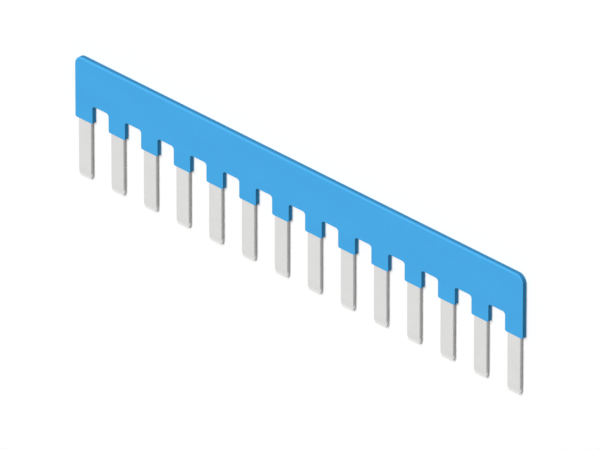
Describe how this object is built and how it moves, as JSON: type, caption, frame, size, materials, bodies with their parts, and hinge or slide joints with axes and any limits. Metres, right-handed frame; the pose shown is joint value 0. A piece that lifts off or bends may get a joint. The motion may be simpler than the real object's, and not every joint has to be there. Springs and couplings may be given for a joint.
{
  "type": "terminal jumper bridge",
  "caption": "Flat comb-shaped bridge linking a row of neighbouring terminals: tinned copper blades stamped together with their bus bar, moulded into a thin insulating comb.",
  "frame": {"origin": "middle of the outline, on the plane that the back rests on", "axes": "+X along the row of blades, +Y from the blade tips to the top edge, +Z out of the front face"},
  "size_m": [0.084, 0.0184, 0.0007],
  "materials": {
    "blue_thermoplastic": "fine spark-eroded satin",
    "tin_plated_copper": "matte tin plate over stamped copper"
  },
  "bodies": {
    "root": {"insulating_housing": "blue_thermoplastic", "contact_comb": "tin_plated_copper"}
  },
  "joints": []
}
